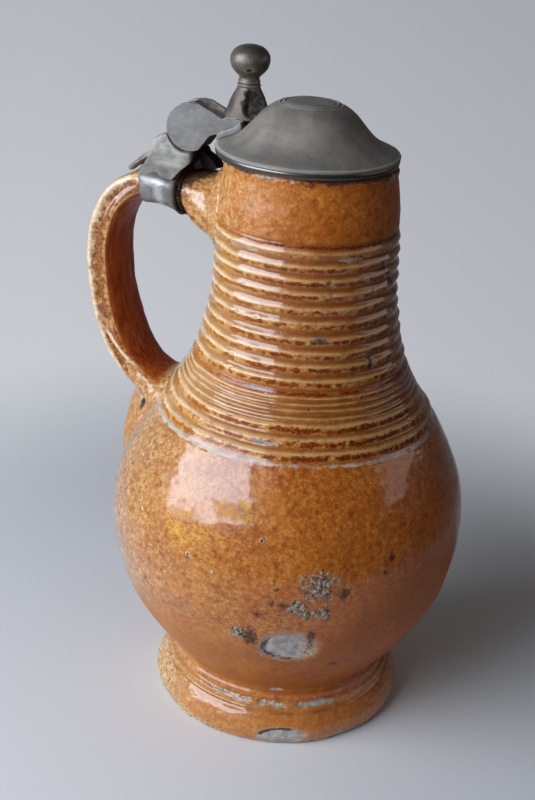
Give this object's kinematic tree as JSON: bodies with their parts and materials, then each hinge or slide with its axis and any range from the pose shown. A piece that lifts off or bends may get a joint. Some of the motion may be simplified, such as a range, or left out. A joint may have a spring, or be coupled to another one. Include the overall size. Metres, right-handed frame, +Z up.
{
  "type": "lidded stoneware jug",
  "caption": "Salt-glazed stoneware jug with a round belly, ribbed neck, strap handle and a hinged domed pewter lid with a ball thumb-rest.",
  "frame": {"origin": "centre of the flat base, where the jug stands", "axes": "+Z up through the mouth, -X towards the handle and the hinge, Y along the hinge pin"},
  "size_m": [0.1662, 0.149, 0.279],
  "materials": {
    "stoneware": "orange-brown salt glaze, mottled and glossy, with bare grey clay at the chips",
    "pewter": "old cast pewter, pale grey and dull, worn smooth on the edges",
    "bright_pewter": "hammered pewter band, blue-grey with a soft shine",
    "dark_pewter": "turned pewter under a dark matt patina, brighter along the lip",
    "solder": "run solder, pale and slightly pink",
    "packing": "dark crusty filler between the band and the glaze"
  },
  "bodies": {
    "jug": {"vessel": "stoneware", "handle": "stoneware", "collar_packing": "packing", "handle_collar": "bright_pewter", "hinge_bracket": "pewter"},
    "lid": {"lid": "dark_pewter", "lid_arm": "pewter", "arm_solder": "solder", "thumbpiece": "dark_pewter", "hinge_pin": "pewter"}
  },
  "joints": [
    {"name": "lid_hinge", "type": "hinge", "parent": "jug", "child": "lid", "pos_m": [-0.0502, 0, 0.2452], "axis": [0, -1, 0], "range_deg": [0, 105]}
  ]
}
